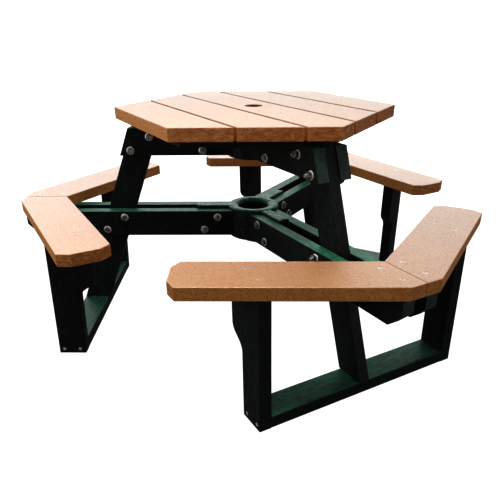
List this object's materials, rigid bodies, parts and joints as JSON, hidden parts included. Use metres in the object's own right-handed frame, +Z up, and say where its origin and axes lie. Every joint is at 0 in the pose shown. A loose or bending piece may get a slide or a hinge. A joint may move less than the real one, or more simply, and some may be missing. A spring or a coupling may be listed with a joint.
{
  "type": "picnic table",
  "caption": "Hexagonal picnic table in plastic lumber: slatted top with an umbrella hole, V-shaped corner benches and a dark frame of paired rails, sloping legs and round hubs.",
  "frame": {"origin": "on the ground, below the middle of the overall length and width; the umbrella hole's axis is at x = 0.0431 m, y = 0", "axes": "+Z up; -X towards the nose of the left bench, whose arm lies along the X axis; the other two arms are at 120 degrees to it"},
  "size_m": [1.5472, 1.4824, 0.7366],
  "materials": {
    "cedar_board": "speckled, lightly grained",
    "green_board": "lightly grained, satin",
    "green_hub": "rough moulded",
    "zinc_steel": "bright zinc"
  },
  "bodies": {
    "root": {"base_beam_back": "green_board", "base_beam_front": "green_board", "base_beam_left": "green_board", "batten_screws": "zinc_steel", "beam_end_screws": "zinc_steel", "foot_screws": "zinc_steel", "hub_bolts": "zinc_steel", "hub_lower": "green_hub", "hub_upper": "green_hub", "leg_back": "green_board", "leg_bolts": "zinc_steel", "leg_front": "green_board", "leg_left": "green_board", "nuts": "zinc_steel", "seat_plank_back_1": "cedar_board", "seat_plank_back_2": "cedar_board", "seat_plank_front_1": "cedar_board", "seat_plank_front_2": "cedar_board", "seat_plank_left_1": "cedar_board", "seat_plank_left_2": "cedar_board", "seat_post_back_1": "green_board", "seat_post_back_2": "green_board", "seat_post_front_1": "green_board", "seat_post_front_2": "green_board", "seat_post_left_1": "green_board", "seat_post_left_2": "green_board", "seat_rail_back_1": "green_board", "seat_rail_back_2": "green_board", "seat_rail_front_1": "green_board", "seat_rail_front_2": "green_board", "seat_rail_left_1": "green_board", "seat_rail_left_2": "green_board", "seat_screws": "zinc_steel", "slat_screws": "zinc_steel", "top_batten_1": "green_board", "top_batten_2": "green_board", "top_batten_3": "green_board", "top_batten_4": "green_board", "top_batten_5": "green_board", "top_batten_6": "green_board", "top_rail_back_1": "green_board", "top_rail_back_2": "green_board", "top_rail_front_1": "green_board", "top_rail_front_2": "green_board", "top_rail_left_1": "green_board", "top_rail_left_2": "green_board", "top_slat_1": "cedar_board", "top_slat_2": "cedar_board", "top_slat_3": "cedar_board", "top_slat_4": "cedar_board", "top_slat_5": "cedar_board", "washers": "zinc_steel"}
  },
  "joints": []
}
